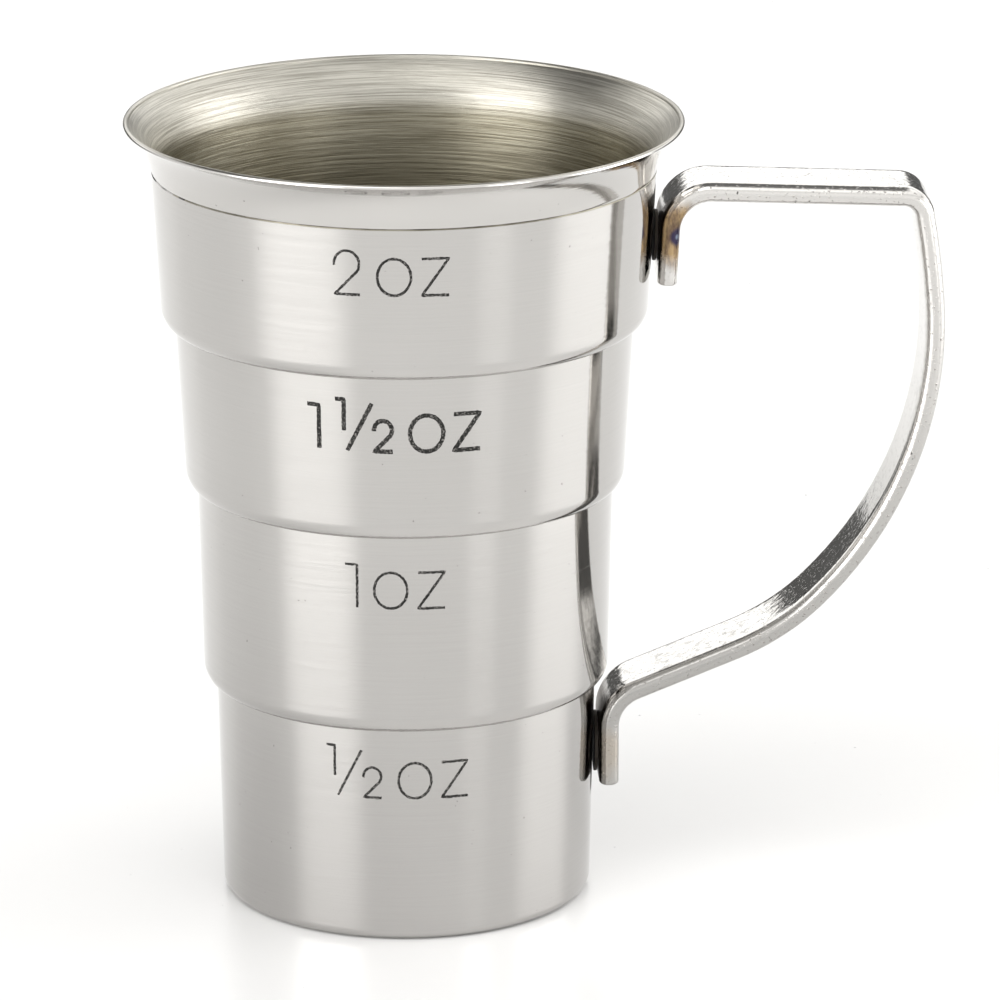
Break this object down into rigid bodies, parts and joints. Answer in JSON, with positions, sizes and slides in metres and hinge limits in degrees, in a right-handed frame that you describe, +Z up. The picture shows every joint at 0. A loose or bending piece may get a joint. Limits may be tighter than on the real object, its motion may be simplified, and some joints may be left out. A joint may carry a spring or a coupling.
{
  "type": "bar jigger",
  "caption": "Stepped steel measuring cup with a flared rim, capacity marks and a bent strap handle welded to its side.",
  "frame": {"origin": "centre of the cup's flat base, on the cup's axis", "axes": "+Z up along the cup's axis, +X from the axis towards the handle, +Y to the right of the handle seen from outside it"},
  "size_m": [0.0683, 0.0466, 0.0669],
  "materials": {
    "cup_steel": "fine satin, brushed round the cup",
    "handle_steel": "polished, lightly pitted, straw heat tint at the feet",
    "weld": "dull, heat tinted",
    "marks": "dark matt etching"
  },
  "bodies": {
    "root": {"cup": "cup_steel", "handle": "handle_steel", "upper_weld": "weld", "lower_weld": "weld"}
  },
  "joints": []
}
